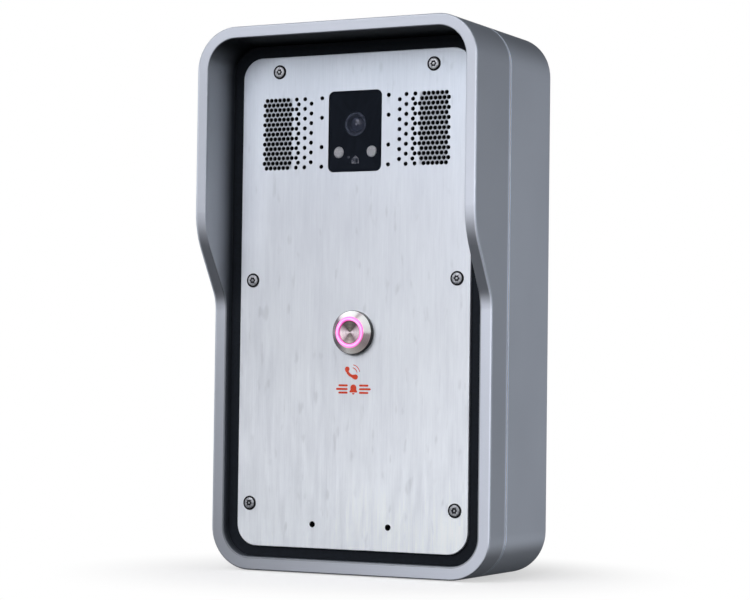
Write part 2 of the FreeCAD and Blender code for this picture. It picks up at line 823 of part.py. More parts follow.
def button_oring():
    """Seal in the groove under the bezel."""
    return tube(8.9, 8.2, PLATE_FRONT, PLATE_FRONT + 0.8, BUTTON_X, BUTTON_Z)


def button_nut():
    """Hexagon nut that clamps the barrel to the plate."""
    body = hexagon(19.0, TRIM_FRONT - 3.0, TRIM_FRONT, BUTTON_X, BUTTON_Z)
    return body.cut(disc(BARREL_R + 0.02, 50.0, 55.0, BUTTON_X, BUTTON_Z))


def button_ring():
    """Translucent light ring and carrier that moves with the cap."""
    top = PLATE_FRONT + RING_HEIGHT
    profile = [
        (RING_INNER_R, top - 0.1),
        (RING_INNER_R + 0.2, top),
        (RING_R - 0.2, top),
        (RING_R, top - 0.2),
        (RING_R, 51.95),
        (7.2, 51.95),
        (7.2, 50.4),
        (2.05, 50.4),
        (2.05, 54.0),
        (RING_INNER_R, 54.0),
    ]
    return turned(profile, BUTTON_X, BUTTON_Z)


def button_cap():
    """Turned steel cap with a shallow dish and a push stem."""
    top = PLATE_FRONT + CAP_HEIGHT
    profile = [
        (0.0, 46.5),
        (2.0, 46.5),
        (2.0, 54.0),
        (RING_INNER_R - 0.03, 54.0),
        (RING_INNER_R - 0.03, top - 0.25),
        (RING_INNER_R - 0.3, top),
        (3.6, top - 0.12),
        (2.0, top - 0.27),
        (0.0, top - 0.33),
    ]
    return turned(profile, BUTTON_X, BUTTON_Z)


def button_spring():
    """Return spring under the carrier."""
    return coil(3.4, 0.28, 4, 45.0, 50.4, BUTTON_X, BUTTON_Z)


def button_contact_block():
    """Moulded switch block in the barrel and behind it."""
    profile = [
        (0.0, 30.0),
        (7.26, 30.0),
        (7.26, 45.0),
        (2.3, 45.0),
        (2.3, 42.0),
        (0.0, 42.0),
    ]
    return turned(profile, BUTTON_X, BUTTON_Z)


def terminal_places():
    """The four tags behind the call button."""
    return [(BUTTON_X + x, BUTTON_Z + z) for z in (-3.0, 3.0) for x in (-2.5, 2.5)]


def button_terminals():
    """Brass tags behind the contact block."""
    tags = [block(x - 1.0, x + 1.0, 22.5, 30.0, z - 0.25, z + 0.25) for x, z in terminal_places()]
    return Part.makeCompound(tags)


def button_leads():
    """Four wires from the button's tags to the main board."""
    wires = []
    for x, z in terminal_places():
        back = 16.5 if z < BUTTON_Z else 13.5
        end_z = -46.0 if z < BUTTON_Z else -49.5
        route = [point(x, 22.5, z), point(x, back, z), point(x, back, end_z), point(x, BOARD_BACK, end_z)]
        wires.append(lead(route, 0.7))
    return Part.makeCompound(wires)


# ---- main board ----------------------------------------------------------------------------
def spacer_places():
    """The four fixings of the main board."""
    return [(sx * SPACER_X, z) for sx in (-1, 1) for z in SPACER_ZS]


def main_board():
    """Main circuit board."""
    board = block(-BOARD_X, BOARD_X, BOARD_BACK, BOARD_FRONT, BOARD_BOTTOM, BOARD_TOP)
    return board.cut([disc(1.4, 30, 50, x, z) for x, z in spacer_places()])


def board_spacers():
    """Hexagonal spacers bonded to the back of the face plate."""
    spacers = []
    for x, z in spacer_places():
        bar = hexagon(5.0, BOARD_FRONT, TRIM_FRONT, x, z)
        spacers.append(bar.cut(disc(1.3, BOARD_FRONT - 1, BOARD_FRONT + 6.0, x, z)))
    return Part.makeCompound(spacers)


def board_screws():
    """Pan head screws that hold the main board on its spacers."""
    screws = []
    for x, z in spacer_places():
        head = disc(2.3, BOARD_BACK - 1.5, BOARD_BACK, x, z)
        shank = disc(1.25, BOARD_BACK - 0.5, BOARD_FRONT + 5.0, x, z)
        slot = block(x - 1.8, x + 1.8, BOARD_BACK - 2, BOARD_BACK - 0.9, z - 0.3, z + 0.3)
        screws.append(joined([head, shank]).cut(slot))
    return Part.makeCompound(screws)


def processor_shield():
    """Pressed shield can over the processor."""
    can = slab(27.0, 27.0, 1.0, BOARD_FRONT, BOARD_FRONT + 3.0, -12.0, -58.0)
    return can.cut(slab(26.2, 26.2, 0.6, BOARD_FRONT - 1, BOARD_FRONT + 2.6, -12.0, -58.0))


def board_chips():
    """Processor, memory, audio amplifier, network chip and ribbon socket on the front side."""
    places = [
        (-12.0, -58.0, 12.0, 12.0, 1.2),
        (14.0, -52.0, 9.0, 12.0, 1.0),
        (14.0, -70.0, 7.0, 7.0, 1.0),
        (28.0, -60.0, 6.0, 5.0, 1.4),
        (11.0, -35.5, 9.0, 5.0, 2.4),
    ]
    chips = []
    for x, z, width, height, thick in places:
        half_w = width / 2.0
        half_h = height / 2.0
        chips.append(
            block(x - half_w, x + half_w, BOARD_FRONT, BOARD_FRONT + thick, z - half_h, z + half_h)
        )
    return Part.makeCompound(chips)


def terminal_block():
    """Eight-way screw terminal for power, door strike and loop."""
    body = block(-32.0, 8.0, BOARD_BACK - 10.0, BOARD_BACK, -90.0, -81.0)
    tools = []
    for way in range(8):
        x = -29.5 + way * 5.0
        tools.append(disc(1.6, BOARD_BACK - 11, BOARD_BACK - 6.0, x, -84.5))
        tools.append(block(x - 1.6, x + 1.6, BOARD_BACK - 7.0, BOARD_BACK - 3.0, -91.0, -87.0))
    return body.cut(tools)


def network_jack():
    """Network socket, open downwards."""
    body = block(13.0, 29.0, BOARD_BACK - 13.5, BOARD_BACK, -91.5, -71.0)
    mouth = block(15.2, 26.8, BOARD_BACK - 11.0, BOARD_BACK - 4.0, -93.0, -78.0)
    latch = block(18.0, 24.0, BOARD_BACK - 13.0, BOARD_BACK - 10.0, -93.0, -78.0)
    return body.cut([mouth, latch])


def relay():
    """Door strike relay."""
    return slab(15.5, 20.0, 0.6, BOARD_BACK - 11.5, BOARD_BACK, 24.0, -55.0)


def capacitors():
    """Electrolytic capacitors of the power supply."""
    cans = []
    for x, z in ((-16.0, -70.0), (-5.5, -70.0), (4.5, -70.0)):
        cans.append(disc(4.0, BOARD_BACK - 11.0, BOARD_BACK, x, z))
    return Part.makeCompound(cans)


def tamper_switch():
    """Body of the cover switch."""
    body = block(TAMPER_X - 4.0, TAMPER_X + 4.0, 30.0, BOARD_BACK, TAMPER_Z - 4.0, TAMPER_Z + 4.0)
    return body.cut(disc(1.6, 29.0, 36.5, TAMPER_X, TAMPER_Z))


def tamper_plunger():
    """Plunger that stands on the post of the back box."""
    tip = TAMPER_POST_TOP + 0.3
    profile = [
        (0.0, tip),
        (1.2, tip),
        (1.55, tip + 0.4),
        (1.55, 22.0),
        (2.6, 22.0),
        (2.6, 23.0),
        (1.55, 23.0),
        (1.55, 34.0),
        (0.0, 34.0),
    ]
    return turned(profile, TAMPER_X, TAMPER_Z)


def tamper_spring():
    """Return spring of the cover switch."""
    return coil(2.2, 0.22, 5, 23.0, 30.0, TAMPER_X, TAMPER_Z)


def camera_ribbon():
    """Flat ribbon from the camera board to the main board."""
    half = 0.1
    side = BUTTON_X + BARREL_R + 0.3
    centre = [(36.65, 66.0), (36.65, -18.0), (41.0, -26.0), (41.0, -32.9)]
    corners = [point(side, depth - half, z) for depth, z in centre]
    corners += [point(side, depth + half, z) for depth, z in reversed(centre)]
    corners.append(corners[0])
    return Part.Face(Part.makePolygon(corners)).extrude(FreeCAD.Vector(4.8, 0, 0))


def speaker_leads():
    """A two-core lead from each speaker to the main board."""
    wires = []
    for _, side in SIDES:
        x = side * SPEAKER_X
        route = [
            point(x, 41.3, SPEAKER_Z - 9.0),
            point(x, 41.3, 46.0),
            point(side * 25.0, 38.0, 16.0),
            point(side * 25.0, 44.0, -16.0),
            point(side * 25.0, 47.0, -38.0),
            point(side * 25.0, BOARD_FRONT, -38.0),
        ]
        wires.append(lead(route, 0.9))
    return Part.makeCompound(wires)


# ---- files ---------------------------------------------------------------------------------
def single_parts():
    """Every part that exists once, by node name."""
    return {
        "back_box": back_box(),
        "wall_gasket": wall_gasket(),
        "seam_gasket": seam_gasket(),
        "cable_grommet": cable_grommet(),
        "hood_frame": hood_frame(),
        "frame_screws": frame_screws(),
        "inner_trim": inner_trim(),
        "plate_gasket": plate_gasket(),
        "face_plate": face_plate(),
        "plate_screws": plate_screws(),
        "screw_seals": screw_seals(),
        "window_tape": window_tape(),
        "window_glass": window_glass(),
        "camera_housing": camera_housing(),
        "lens_barrel": lens_barrel(),
        "lens_element": lens_element(),
        "camera_board": camera_board(),
        "image_sensor": image_sensor(),
        "light_sensor": light_sensor(),
        "button_bezel": button_bezel(),
        "button_oring": button_oring(),
        "button_nut": button_nut(),
        "button_ring": button_ring(),
        "button_cap": button_cap(),
        "button_spring": button_spring(),
        "button_contact_block": button_contact_block(),
        "button_terminals": button_terminals(),
        "button_leads": button_leads(),
        "main_board": main_board(),
        "board_spacers": board_spacers(),
        "board_screws": board_screws(),
        "processor_shield": processor_shield(),
        "board_chips": board_chips(),
        "terminal_block": terminal_block(),
        "network_jack": network_jack(),
        "relay": relay(),
        "capacitors": capacitors(),
        "tamper_switch": tamper_switch(),
        "tamper_plunger": tamper_plunger(),
        "tamper_spring": tamper_spring(),
        "camera_ribbon": camera_ribbon(),
        "speaker_leads": speaker_leads(),
    }


def paired_parts():
    """Every part that exists once on each side, by node name."""
    makers = {
        "fill_light": fill_light,
        "grille_cloth": grille_cloth,
        "speaker_gasket": speaker_gasket,
        "speaker_basket": speaker_basket,
        "speaker_magnet": speaker_magnet,
        "speaker_cone": speaker_cone,
        "speaker_surround": speaker_surround,
        "microphone": microphone,
        "microphone_boot": microphone_boot,
    }
    parts = {}
    for name, make in makers.items():
        for side_name, side in SIDES:
            parts[name + "_" + side_name] = make(side)
    return parts


def main():
    os.makedirs("parts", exist_ok=True)
    parts = single_parts()
    parts.update(paired_parts())
    for name, shape in parts.items():
        shape.exportStep("parts/" + name + ".step")
        print(name, "solids", len(shape.Solids), "valid", shape.isValid(), "mm3", round(shape.Volume, 1))


main()
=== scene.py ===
"""Looks for the hooded door intercom: camera, studio, finishes and the printed mark.

Everything is in metres in the shared frame: the wall is y = 0 and the front faces -Y.
"""
import json
import math

import bmesh
import bpy
from mathutils import Matrix, Vector


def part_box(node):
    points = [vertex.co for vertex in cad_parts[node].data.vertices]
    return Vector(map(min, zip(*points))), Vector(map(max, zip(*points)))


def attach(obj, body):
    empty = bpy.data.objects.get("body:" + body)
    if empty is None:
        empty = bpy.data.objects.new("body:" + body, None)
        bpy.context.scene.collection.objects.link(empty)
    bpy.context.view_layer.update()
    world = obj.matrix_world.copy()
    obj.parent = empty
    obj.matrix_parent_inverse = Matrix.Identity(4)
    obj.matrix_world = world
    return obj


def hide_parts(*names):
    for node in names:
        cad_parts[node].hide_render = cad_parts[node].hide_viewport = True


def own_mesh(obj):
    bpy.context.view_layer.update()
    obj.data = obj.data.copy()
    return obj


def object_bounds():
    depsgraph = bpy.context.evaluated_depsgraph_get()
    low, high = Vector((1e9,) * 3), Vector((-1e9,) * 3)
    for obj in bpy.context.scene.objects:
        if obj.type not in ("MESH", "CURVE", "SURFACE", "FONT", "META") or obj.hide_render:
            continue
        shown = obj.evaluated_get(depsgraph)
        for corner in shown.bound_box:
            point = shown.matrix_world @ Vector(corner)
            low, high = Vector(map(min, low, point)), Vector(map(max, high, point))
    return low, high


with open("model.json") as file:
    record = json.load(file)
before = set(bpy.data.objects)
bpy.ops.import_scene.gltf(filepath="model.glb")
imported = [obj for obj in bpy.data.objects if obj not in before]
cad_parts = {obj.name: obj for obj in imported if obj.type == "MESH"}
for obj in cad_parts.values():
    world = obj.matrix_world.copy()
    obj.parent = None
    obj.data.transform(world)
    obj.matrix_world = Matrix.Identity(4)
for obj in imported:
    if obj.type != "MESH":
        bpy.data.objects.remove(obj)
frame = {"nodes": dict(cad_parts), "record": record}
first_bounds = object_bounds()

MM = 0.001
NODES = frame["nodes"]
CASE_LOW, CASE_HIGH = first_bounds
CENTRE = (CASE_LOW + CASE_HIGH) / 2.0
PLATE_LOW, PLATE_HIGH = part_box("face_plate")
BEZEL_LOW, BEZEL_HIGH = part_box("button_bezel")
RING_LOW, RING_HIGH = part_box("button_ring")
CAP_LOW, CAP_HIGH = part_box("button_cap")
BUTTON = (BEZEL_LOW + BEZEL_HIGH) / 2.0

# ---- camera --------------------------------------------------------------------------------
CAMERA_DISTANCE = 0.9846
CAMERA_AZIMUTH = 27.31
CAMERA_ELEVATION = -2.09
LOOK_AZIMUTH = 27.24
LOOK_UP = 2.12
CAMERA_ROLL = 0.75
CAMERA_LENS = 111.88


def direction(azimuth, elevation):
    """Unit vector from the object towards a viewer; azimuth 0 is straight in front."""
    a = math.radians(azimuth)
    e = math.radians(elevation)
    return Vector((math.sin(a) * math.cos(e), -math.cos(a) * math.cos(e), math.sin(e)))


def make_camera():
    data = bpy.data.cameras.new("camera")
    data.lens = CAMERA_LENS
    data.sensor_width = 36.0
    data.clip_start = 0.01
    data.clip_end = 50.0
    camera = bpy.data.objects.new("camera", data)
    bpy.context.scene.collection.objects.link(camera)
    back = direction(LOOK_AZIMUTH, -LOOK_UP)
    level = Vector((0, 0, 1)).cross(back).normalized()
    upright = back.cross(level)
    roll = math.radians(CAMERA_ROLL)
    right = level * math.cos(roll) + upright * math.sin(roll)
    up = upright * math.cos(roll) - level * math.sin(roll)
    turn = Matrix((right, up, back)).transposed().to_4x4()
    place = CENTRE + direction(CAMERA_AZIMUTH, CAMERA_ELEVATION) * CAMERA_DISTANCE
    camera.matrix_world = Matrix.Translation(place) @ turn
    bpy.context.scene.camera = camera


# ---- small helpers -------------------------------------------------------------------------
def tone(red, green, blue):
    """Linear colour from the 0 to 255 values that a screen shows."""
    linear = []
    for value in (red, green, blue):
        share = value / 255.0
        linear.append(share / 12.92 if share <= 0.04045 else ((share + 0.055) / 1.055) ** 2.4)
    return (*linear, 1.0)


def link_object(name, mesh):
    obj = bpy.data.objects.new(name, mesh)
    bpy.context.scene.collection.objects.link(obj)
    return obj


class Finish:
    """A node material, with short calls for the nodes that the finishes share."""

    def __init__(self, name, **values):
        self.material = bpy.data.materials.new(name)
        self.material.use_nodes = True
        self.nodes = self.material.node_tree.nodes
        self.links = self.material.node_tree.links
        self.shader = self.nodes["Principled BSDF"]
        self.place = self.nodes.new("ShaderNodeTexCoord").outputs["Object"]
        for key, value in values.items():
            self.shader.inputs[key.replace("_", " ")].default_value = value

    def feed(self, socket, value):
        """Links a node's output, or sets a plain value."""
        if isinstance(value, bpy.types.NodeSocket):
            self.links.new(value, socket)
        else:
            socket.default_value = value

    def node(self, kind, inputs, output=0, **settings):
        made = self.nodes.new(kind)
        for key, value in settings.items():
            setattr(made, key, value)
        for key, value in inputs.items():
            self.feed(made.inputs[key], value)
        return made.outputs[output]

    def noise(self, scale, stretch=(1.0, 1.0, 1.0), detail=3.0, roughness=0.5):
        """Noise with `scale` cells a metre, drawn out where stretch is small."""
        spread = self.node("ShaderNodeMapping", {"Vector": self.place, "Scale": stretch})
        settings = {"Vector": spread, "Scale": scale, "Detail": detail, "Roughness": roughness}
        return self.node("ShaderNodeTexNoise", settings, "Fac")

    def ramp(self, source, *stops):
        made = self.nodes.new("ShaderNodeValToRGB")
        elements = made.color_ramp.elements
        while len(elements) < len(stops):
            elements.new(0.5)
        for element, (position, colour) in zip(elements, stops):
            element.position = position
            element.color = colour
        self.feed(made.inputs["Fac"], source)
        return made.outputs["Color"]

    def span(self, source, low, high, to_low=0.0, to_high=1.0, smooth=False):
        """Carries a value from one range to another, held at the ends."""
        kind = "SMOOTHSTEP" if smooth else "LINEAR"
        inputs = {"Value": source, "From Min": low, "From Max": high, "To Min": to_low, "To Max": to_high}
        return self.node("ShaderNodeMapRange", inputs, interpolation_type=kind)

    def math(self, operation, first, second=0.0):
        return self.node("ShaderNodeMath", {0: first, 1: second}, operation=operation)

    def mix(self, share, first, second):
        return self.node("ShaderNodeMix", {0: share, 6: first, 7: second}, 2, data_type="RGBA")

    def darken(self, colour, share):
        """Multiplies a colour by a value."""
        return self.node("ShaderNodeVectorMath", {0: colour, "Scale": share}, operation="SCALE")

    def axes(self, vector=None):
        """The x, y and z of a vector, or of the place in the shared frame."""
        parts = self.nodes.new("ShaderNodeSeparateXYZ")
        self.feed(parts.inputs[0], vector or self.place)
        return parts.outputs

    def facing(self, kind="True Normal"):
        """The x, y and z of the surface's own direction."""
        return self.axes(self.nodes.new("ShaderNodeNewGeometry").outputs[kind])

    def radius_from(self, centre):
        """Distance from the line through centre that is square to the wall."""
        flat = self.node("ShaderNodeVectorMath", {0: self.place, 1: (1, 0, 1)}, operation="MULTIPLY")
        middle = (centre.x, 0, centre.z)
        return self.node("ShaderNodeVectorMath", {0: flat, 1: middle}, "Value", operation="DISTANCE")

    def inside_outline(self, half_width, half_height, radius):
        """Signed distance from a rounded rectangle centred on the y axis; negative is inside."""
        size = self.node("ShaderNodeVectorMath", {0: self.place}, operation="ABSOLUTE")
        corner = (half_width - radius, 1.0, half_height - radius)
        past = self.node("ShaderNodeVectorMath", {0: size, 1: corner}, operation="SUBTRACT")
        past = self.node("ShaderNodeVectorMath", {0: past, 1: (0, 0, 0)}, operation="MAXIMUM")
        reach = self.node("ShaderNodeVectorMath", {0: past}, "Value", operation="LENGTH")
        return self.math("SUBTRACT", reach, radius)

    def colour(self, source):
        self.feed(self.shader.inputs["Base Color"], source)

    def roughness(self, source):
        self.feed(self.shader.inputs["Roughness"], source)

    def bump(self, height, strength, distance):
        inputs = {"Height": height, "Strength": strength, "Distance": distance}
        self.feed(self.shader.inputs["Normal"], self.node("ShaderNodeBump", inputs, "Normal"))


# ---- studio --------------------------------------------------------------------------------
FLOOR_GAP = 0.0004
# the floor's own colour gives way to plain white between these distances, from this least share
FLOOR_FADE_FROM = 0.03
FLOOR_FADE_TO = 0.14
FLOOR_FADE_LEAST = 0.5
WORLD_STRENGTH = 0.02
LIGHT_DISTANCE = 1.5
LIGHT_TINT = (0.985, 0.985, 1.0)
# name, azimuth, elevation, width, height, watts
LIGHTS = (
    ("high_left", -25.0, 30.0, 1.0, 1.0, 15.0),
    ("high_front", 5.0, 45.0, 0.8, 0.8, 5.3),
    ("front", 5.0, 10.0, 0.8, 0.8, 6.5),
    ("right", 120.0, 10.0, 0.8, 0.8, 2.5),
    ("low_right", 120.0, -25.0, 0.8, 0.8, 8.2),
)


def area_light(name, azimuth, elevation, width, height, watts):
    data = bpy.data.lights.new(name, "AREA")
    data.shape = "RECTANGLE"
    data.size = width
    data.size_y = height
    data.energy = watts
    data.color = LIGHT_TINT
    light = bpy.data.objects.new(name, data)
    bpy.context.scene.collection.objects.link(light)
    towards = direction(azimuth, elevation)
    light.location = CENTRE + towards * LIGHT_DISTANCE
    light.rotation_mode = "QUATERNION"
    light.rotation_quaternion = (-towards).to_track_quat("-Z", "Y")


def make_floor():
    """Pale round floor with a far wall; it fades into plain white a little way from the object."""
    radii = (0.06, 0.16, 0.35, 0.7, 1.5, 4.0)
    wall_height = 6.0
    spin_steps = 64
    bm = bmesh.new()
    rings = []
    heights = [0.0] * len(radii) + [wall_height]
    for radius, height in zip((*radii, radii[-1]), heights):
        turns = [2 * math.pi * index / spin_steps for index in range(spin_steps)]
        rings.append([bm.verts.new((radius * math.cos(t), radius * math.sin(t), height)) for t in turns])
    bm.faces.new(rings[0])
    for inner, outer in zip(rings, rings[1:]):
        for index in range(spin_steps):
            after = (index + 1) % spin_steps
            bm.faces.new((inner[index], outer[index], outer[after], inner[after]))
    mesh = bpy.data.meshes.new("floor")
    bm.to_mesh(mesh)
    bm.free()
    floor = link_object("floor", mesh)
    floor.location = (CENTRE.x, CENTRE.y, CASE_LOW.z - FLOOR_GAP)
    paint = Finish("floor_paint", Base_Color=(0.95, 0.95, 0.96, 1), Roughness=0.9, Specular_IOR_Level=0.0)
    away = paint.node("ShaderNodeVectorMath", {0: paint.place}, "Value", operation="LENGTH")
    fade = paint.span(away, FLOOR_FADE_FROM, FLOOR_FADE_TO, FLOOR_FADE_LEAST, 1.0, smooth=True)
    glow = paint.node("ShaderNodeEmission", {"Color": (1.0, 1.0, 1.0, 1.0)})
    blend = paint.node("ShaderNodeMixShader", {0: fade, 1: paint.shader.outputs[0], 2: glow})
    paint.feed(paint.nodes["Material Output"].inputs["Surface"], blend)
    mesh.materials.append(paint.material)
    floor.visible_diffuse = False
    floor.visible_glossy = False
    floor.visible_transmission = False
    floor.visible_shadow = False


def make_studio():
    scene = bpy.context.scene
    scene.view_settings.view_transform = "Standard"
    world = bpy.data.worlds.new("studio")
    scene.world = world
    world.use_nodes = True
    background = world.node_tree.nodes["Background"]
    background.inputs["Color"].default_value = (0.90, 0.95, 1.0, 1.0)
    background.inputs["Strength"].default_value = WORLD_STRENGTH
    for light in LIGHTS:
        area_light(*light)
    make_floor()


# ---- finishes of the case ------------------------------------------------------------------
PAINT_DARK = tone(180, 188, 201)
PAINT_LIGHT = tone(190, 198, 211)
WHITE = (1.0, 1.0, 1.0, 1.0)
# painted light and shade on the front-facing rim: how its tone runs in the middle, across it,
# and at the top, and its warmer hue
RIM_REACH_X = 62.0 * MM
RIM_REACH_Z = 60.0 * MM
FRONT_LIGHT_SHARE = 1.06
FRONT_LIGHT_ACROSS = 0.2
FRONT_LIGHT_ACROSS_DROP = 0.107
FRONT_TOP_SHADE_SHARE = 0.88
FRONT_LIGHT_TINT = (1.0, 0.965, 0.945, 1.0)
# painted shade on faces that look down and on the lower end of the case, and a painted highlight on the
# outer side edges of its front
UNDER_SHADE_SHARE = 0.42
LOW_END_SHADE_SHARE = 0.9
EDGE_GLINT_SHARE = 1.35
EDGE_GLINT_FROM = 1.2 * MM
EDGE_GLINT_FULL = 0.6 * MM
# painted highlight on the bevel at the back box's front edge, which shows as a light seam
SEAM_HIGHLIGHT_SHARE = 1.75
SEAM_BEHIND = 0.2 * MM
SEAM_HIGHLIGHT_REACH = 1.6 * MM
SEAM_HIGHLIGHT_FULL = 0.8 * MM
# the outline of the hood's inner face, and the painted shade inside the hood
HOOD_WALL = 5.0 * MM
HOOD_SHADE_RISE = 0.1 * MM
HOOD_SHADE_CORNER = 13.0 * MM
HOOD_SHADE_BLUR = 0.05 * MM
HOOD_SHADE_GAIN = 2.9
HOOD_CEILING_SHADE = tone(20, 24, 27)


def powder_coat(name, side_light_share, over_shade_share):
    """Satin silver-grey powder coat with a fine orange-peel grain.

    Its tone is laid out by place as well, as painted light and shade: the front grows lighter to the
    right and duller towards the top and takes a warmer hue, sides take their own share of painted
    light, faces that look up or down and the lower end get painted shade, and painted highlights lie
    on the back box's front bevel and on the outer side edges of the front.
    """
    paint = Finish(name, Metallic=0.25, Specular_IOR_Level=0.35)
    clouds = paint.noise(14.0, detail=2.0)
    grain = paint.noise(2200.0, detail=2.0, roughness=0.7)
    both = paint.math("ADD", paint.math("MULTIPLY", clouds, 0.7), paint.math("MULTIPLY", grain, 0.3))
    base = paint.ramp(both, (0.35, PAINT_DARK), (0.65, PAINT_LIGHT))
    paint.roughness(paint.span(grain, 0.3, 0.7, 0.42, 0.54))
    paint.bump(grain, 0.15, 0.00003)
    x, y, z = paint.axes()
    _, out_y, out_z = paint.facing("Normal")

    # painted light on the front: lighter to the right and duller towards the top; the sides take their
    # own share
    across = paint.math("DIVIDE", x, RIM_REACH_X)
    drop = paint.math("MULTIPLY", paint.math("DIVIDE", z, RIM_REACH_Z), FRONT_LIGHT_ACROSS_DROP)
    tilt = paint.math("SUBTRACT", FRONT_LIGHT_ACROSS, drop)
    front_light_share = paint.math("ADD", FRONT_LIGHT_SHARE, paint.math("MULTIPLY", across, tilt))
    top_shade = paint.span(z, 0.0, CASE_HIGH.z * 0.7, 1.0, FRONT_TOP_SHADE_SHARE)
    front_light_share = paint.math("MULTIPLY", front_light_share, top_shade)
    front = paint.span(out_y, -0.75, -0.95, smooth=True)
    share = paint.node("ShaderNodeMix", {0: front, 2: side_light_share, 3: front_light_share}, 0)

    # painted highlight on the outer side edges of the front; painted shade on faces that look down or up
    # and on the lower end
    aside = paint.math("ABSOLUTE", x)
    edge = paint.span(aside, CASE_HIGH.x - EDGE_GLINT_FROM, CASE_HIGH.x - EDGE_GLINT_FULL, smooth=True)
    edge = paint.math("MULTIPLY", edge, paint.span(out_y, -0.3, -0.6))
    under = paint.span(out_z, -0.1, -0.5, 1.0, UNDER_SHADE_SHARE, smooth=True)
    under = paint.node("ShaderNodeMix", {0: edge, 2: under, 3: EDGE_GLINT_SHARE}, 0)
    over = paint.span(out_z, 0.1, 0.8, 1.0, over_shade_share, smooth=True)
    low = paint.span(z, 0.0, CASE_LOW.z * 0.8, 1.0, LOW_END_SHADE_SHARE)
    share = paint.math("MULTIPLY", share, under)
    share = paint.math("MULTIPLY", share, over)
    share = paint.math("MULTIPLY", share, low)

    # painted highlight along the bevel at the back box's front edge
    seam_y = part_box("back_box")[0].y + SEAM_BEHIND
    beside = paint.math("ABSOLUTE", paint.math("SUBTRACT", y, seam_y))
    seam_highlight = paint.span(beside, SEAM_HIGHLIGHT_REACH, SEAM_HIGHLIGHT_FULL, 1.0, SEAM_HIGHLIGHT_SHARE, smooth=True)
    share = paint.math("MULTIPLY", share, seam_highlight)
    # warmer hue of painted light on the faces that look forward
    lit_tint = paint.mix(front, WHITE, FRONT_LIGHT_TINT)
    base = paint.node("ShaderNodeVectorMath", {0: base, 1: lit_tint}, operation="MULTIPLY")
    return paint, paint.darken(base, share)


def case_paint():
    paint, base = powder_coat("case_paint", side_light_share=1.12, over_shade_share=0.6)
    paint.colour(base)
    return paint.material


def hood_paint():
    """The same coat on the frame; inside the hood painted shade darkens it into black, most where it
    faces down.
    """
    low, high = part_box("hood_frame")
    half_width = high.x - HOOD_WALL
    half_height = high.z - HOOD_WALL + HOOD_SHADE_RISE
    paint, base = powder_coat("hood_paint", side_light_share=0.94, over_shade_share=0.8)
    inside = paint.inside_outline(half_width, half_height, HOOD_SHADE_CORNER)
    inside = paint.span(inside, HOOD_SHADE_BLUR, -HOOD_SHADE_BLUR)
    # painted shade that deepens from the rim towards the plate, with a darker tone on faces that look
    # down
    hood_shade_fall = paint.ramp(
        paint.span(paint.axes()[1], low.y, PLATE_LOW.y),
        (0.0, (0.60, 0.58, 0.54, 1.0)),
        (0.42, (0.49, 0.475, 0.45, 1.0)),
        (0.7, (0.34, 0.33, 0.32, 1.0)),
        (1.0, (0.06, 0.065, 0.07, 1.0)),
    )
    under = paint.span(paint.facing("Normal")[2], -0.3, -0.9, smooth=True)
    hood_inner_shade = paint.darken(paint.mix(under, hood_shade_fall, HOOD_CEILING_SHADE), HOOD_SHADE_GAIN)
    shade = paint.mix(inside, WHITE, hood_inner_shade)
    paint.colour(paint.node("ShaderNodeVectorMath", {0: base, 1: shade}, operation="MULTIPLY"))
    return paint.material


# painted shade on the walls of the holes; walls count as those of holes from here inwards, so that
# the plate's own outer edge stays bright
HOLES_EDGE = 2.0 * MM
HOLES_FROM = 3.0 * MM
HOLE_SHADE_TONE = tone(14, 15, 18)
# the dense block of each grille: its middle lies outward of the cloth's, and its shade fades out
DENSE_OUTWARD = 6.6 * MM
DENSE_HALF_X = (7.0 * MM, 5.8 * MM)
DENSE_HALF_Z = (15.6 * MM, 14.2 * MM)
DENSE_SHARE = 0.55
# painted light and shade on the plate: its tone runs this far up and down from the middle, darker
# towards the top, and from one share to the other across its width, lighter to the right; painted
# light makes the left edge lighter above the middle
PLATE_SHADE_REACH = 95.0 * MM
PLATE_LEFT_LIGHT_SHARE = 1.17
PLATE_RIGHT_LIGHT_SHARE = 1.24
LEFT_EDGE_LIGHT_WIDTH = 16.0 * MM
LEFT_EDGE_LIGHT_RISE = 30.0 * MM
LEFT_EDGE_LIGHT_SHARE = 1.35
SMUDGE_SHARE = 0.88


